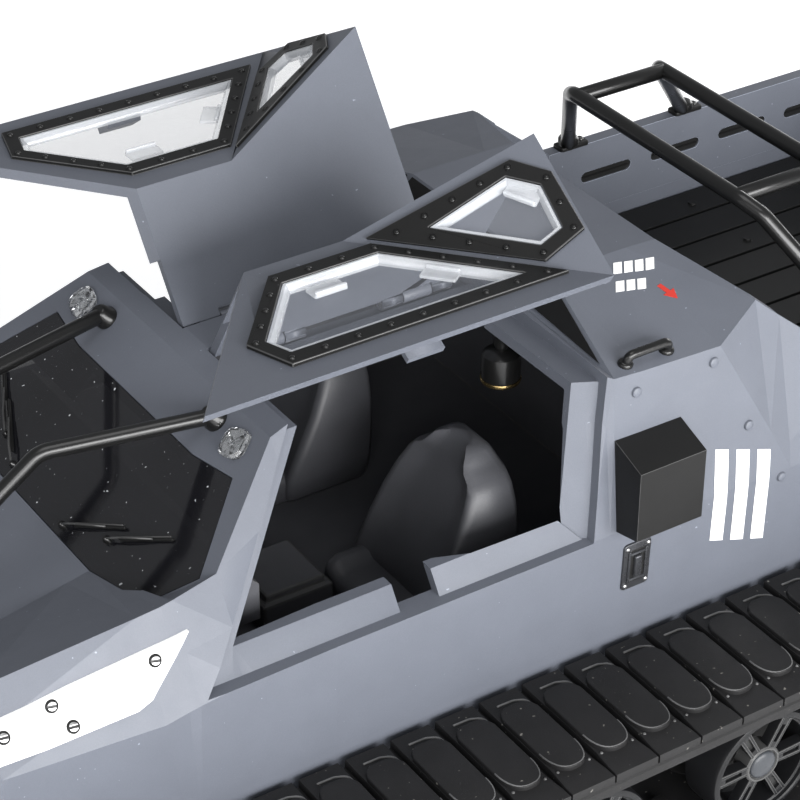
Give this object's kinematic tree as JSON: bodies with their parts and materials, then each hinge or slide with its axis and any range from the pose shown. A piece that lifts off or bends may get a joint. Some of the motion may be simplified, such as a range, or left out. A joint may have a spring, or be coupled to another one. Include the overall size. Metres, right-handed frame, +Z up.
{
  "type": "tracked tank chassis",
  "caption": "Tracked vehicle model with a faceted cab, gull-wing doors, an open cargo bed with a roll cage, and rubber tracks on spoked wheels.",
  "frame": {"origin": "centre of the footprint on the ground", "axes": "+X forward, +Y to the left side, +Z up"},
  "size_m": [0.395, 0.2234, 0.1719],
  "materials": {
    "body_plastic": "satin moulded plastic, blue grey",
    "black_plastic": "satin moulded plastic",
    "cabin_plastic": "fine grained",
    "seat_plastic": "satin with a fine grain",
    "gloss_black": "smooth and glossy",
    "clear_plastic": "clear moulded pane",
    "track_rubber": "moulded rubber with dust",
    "wheel_plastic": "satin rims and grey hub caps",
    "steel": "plated",
    "markings": "white sheet",
    "battery_wrap": "shrink wrap",
    "circuit_board": "solder mask"
  },
  "bodies": {
    "hull": {"chassis_tub": "body_plastic", "body_shell": "body_plastic", "cockpit_tub": "cabin_plastic", "seat_left": "seat_plastic", "seat_right": "seat_plastic", "dashboard": "cabin_plastic", "console_box": "cabin_plastic", "windscreen": "clear_plastic", "wipers": "gloss_black", "roof_lamps": "clear_plastic", "brush_guard": "gloss_black", "front_bumper": "black_plastic", "headlamps": "clear_plastic", "roof_grille": "black_plastic", "bed_floor": "black_plastic", "bed_walls": "body_plastic", "tailgate": "body_plastic", "roll_cage": "gloss_black", "side_boxes": "black_plastic", "latch_plates": "black_plastic", "grab_handles": "gloss_black", "side_bolts": "body_plastic", "fender_plates": "markings", "plate_screws": "steel", "cabin_spotlight": "gloss_black", "track_left": "track_rubber", "track_right": "track_rubber", "stub_axles": "steel", "gearboxes": "black_plastic", "drive_motors": "steel", "battery_pack": "battery_wrap", "battery_cover": "black_plastic", "control_board": "circuit_board", "chassis_screws": "steel", "hinge_pins": "steel"},
    "door_left": {"door_left_shell": "body_plastic", "door_left_frames": "black_plastic", "door_left_panes": "clear_plastic", "door_left_rivets": "black_plastic"},
    "door_right": {"door_right_shell": "body_plastic", "door_right_frames": "black_plastic", "door_right_panes": "clear_plastic", "door_right_rivets": "black_plastic"},
    "road_wheel_left_1_body": {"road_wheel_left_1": "wheel_plastic"},
    "road_wheel_left_2_body": {"road_wheel_left_2": "wheel_plastic"},
    "road_wheel_left_3_body": {"road_wheel_left_3": "wheel_plastic"},
    "road_wheel_left_4_body": {"road_wheel_left_4": "wheel_plastic"},
    "road_wheel_left_5_body": {"road_wheel_left_5": "wheel_plastic"},
    "road_wheel_right_1_body": {"road_wheel_right_1": "wheel_plastic"},
    "road_wheel_right_2_body": {"road_wheel_right_2": "wheel_plastic"},
    "road_wheel_right_3_body": {"road_wheel_right_3": "wheel_plastic"},
    "road_wheel_right_4_body": {"road_wheel_right_4": "wheel_plastic"},
    "road_wheel_right_5_body": {"road_wheel_right_5": "wheel_plastic"},
    "idler_left_body": {"idler_left": "wheel_plastic"},
    "sprocket_left_body": {"sprocket_left": "wheel_plastic"},
    "idler_right_body": {"idler_right": "wheel_plastic"},
    "sprocket_right_body": {"sprocket_right": "wheel_plastic"},
    "switch_slider": {"power_switch": "black_plastic"}
  },
  "joints": [
    {"name": "left_door_hinge", "type": "hinge", "parent": "hull", "child": "door_left", "pos_m": [0.035, 0.0076, 0.11985], "axis": [1, 0, 0], "range_deg": [-59.6, 8.4]},
    {"name": "right_door_hinge", "type": "hinge", "parent": "hull", "child": "door_right", "pos_m": [0.035, -0.0076, 0.11985], "axis": [-1, 0, 0], "range_deg": [-53.9, 14.1]},
    {"name": "sprocket_left_spin", "type": "hinge", "parent": "hull", "child": "sprocket_left_body", "pos_m": [-0.166, 0.094, 0.0271], "axis": [0, 1, 0], "continuous": true},
    {"name": "road_wheel_left_1_spin", "type": "hinge", "parent": "hull", "child": "road_wheel_left_1_body", "pos_m": [0.081, 0.094, 0.02325], "axis": [0, 1, 0], "continuous": true},
    {"name": "road_wheel_left_2_spin", "type": "hinge", "parent": "hull", "child": "road_wheel_left_2_body", "pos_m": [0.029, 0.094, 0.02325], "axis": [0, 1, 0], "continuous": true},
    {"name": "road_wheel_left_3_spin", "type": "hinge", "parent": "hull", "child": "road_wheel_left_3_body", "pos_m": [-0.023, 0.094, 0.02325], "axis": [0, 1, 0], "continuous": true},
    {"name": "road_wheel_left_4_spin", "type": "hinge", "parent": "hull", "child": "road_wheel_left_4_body", "pos_m": [-0.075, 0.094, 0.02325], "axis": [0, 1, 0], "continuous": true},
    {"name": "road_wheel_left_5_spin", "type": "hinge", "parent": "hull", "child": "road_wheel_left_5_body", "pos_m": [-0.127, 0.094, 0.02325], "axis": [0, 1, 0], "continuous": true},
    {"name": "idler_left_spin", "type": "hinge", "parent": "hull", "child": "idler_left_body", "pos_m": [0.152, 0.094, 0.0281], "axis": [0, 1, 0], "continuous": true},
    {"name": "sprocket_right_spin", "type": "hinge", "parent": "hull", "child": "sprocket_right_body", "pos_m": [-0.166, -0.094, 0.0271], "axis": [0, 1, 0], "continuous": true},
    {"name": "road_wheel_right_1_spin", "type": "hinge", "parent": "hull", "child": "road_wheel_right_1_body", "pos_m": [0.081, -0.094, 0.02325], "axis": [0, 1, 0], "continuous": true},
    {"name": "road_wheel_right_2_spin", "type": "hinge", "parent": "hull", "child": "road_wheel_right_2_body", "pos_m": [0.029, -0.094, 0.02325], "axis": [0, 1, 0], "continuous": true},
    {"name": "road_wheel_right_3_spin", "type": "hinge", "parent": "hull", "child": "road_wheel_right_3_body", "pos_m": [-0.023, -0.094, 0.02325], "axis": [0, 1, 0], "continuous": true},
    {"name": "road_wheel_right_4_spin", "type": "hinge", "parent": "hull", "child": "road_wheel_right_4_body", "pos_m": [-0.075, -0.094, 0.02325], "axis": [0, 1, 0], "continuous": true},
    {"name": "road_wheel_right_5_spin", "type": "hinge", "parent": "hull", "child": "road_wheel_right_5_body", "pos_m": [-0.127, -0.094, 0.02325], "axis": [0, 1, 0], "continuous": true},
    {"name": "idler_right_spin", "type": "hinge", "parent": "hull", "child": "idler_right_body", "pos_m": [0.152, -0.094, 0.0281], "axis": [0, 1, 0], "continuous": true},
    {"name": "power_switch_slide", "type": "slide", "parent": "hull", "child": "switch_slider", "axis": [1, 0, 0], "range_m": [0, 0.003]}
  ],
  "couplings": [
    {"joint": "road_wheel_left_1_spin", "follows": "sprocket_left_spin", "ratio": 0.8385},
    {"joint": "road_wheel_left_2_spin", "follows": "sprocket_left_spin", "ratio": 0.8385},
    {"joint": "road_wheel_left_3_spin", "follows": "sprocket_left_spin", "ratio": 0.8385},
    {"joint": "road_wheel_left_4_spin", "follows": "sprocket_left_spin", "ratio": 0.8385},
    {"joint": "road_wheel_left_5_spin", "follows": "sprocket_left_spin", "ratio": 0.8385},
    {"joint": "idler_left_spin", "follows": "sprocket_left_spin", "ratio": 1.08},
    {"joint": "road_wheel_right_1_spin", "follows": "sprocket_right_spin", "ratio": 0.8385},
    {"joint": "road_wheel_right_2_spin", "follows": "sprocket_right_spin", "ratio": 0.8385},
    {"joint": "road_wheel_right_3_spin", "follows": "sprocket_right_spin", "ratio": 0.8385},
    {"joint": "road_wheel_right_4_spin", "follows": "sprocket_right_spin", "ratio": 0.8385},
    {"joint": "road_wheel_right_5_spin", "follows": "sprocket_right_spin", "ratio": 0.8385},
    {"joint": "idler_right_spin", "follows": "sprocket_right_spin", "ratio": 1.08}
  ]
}
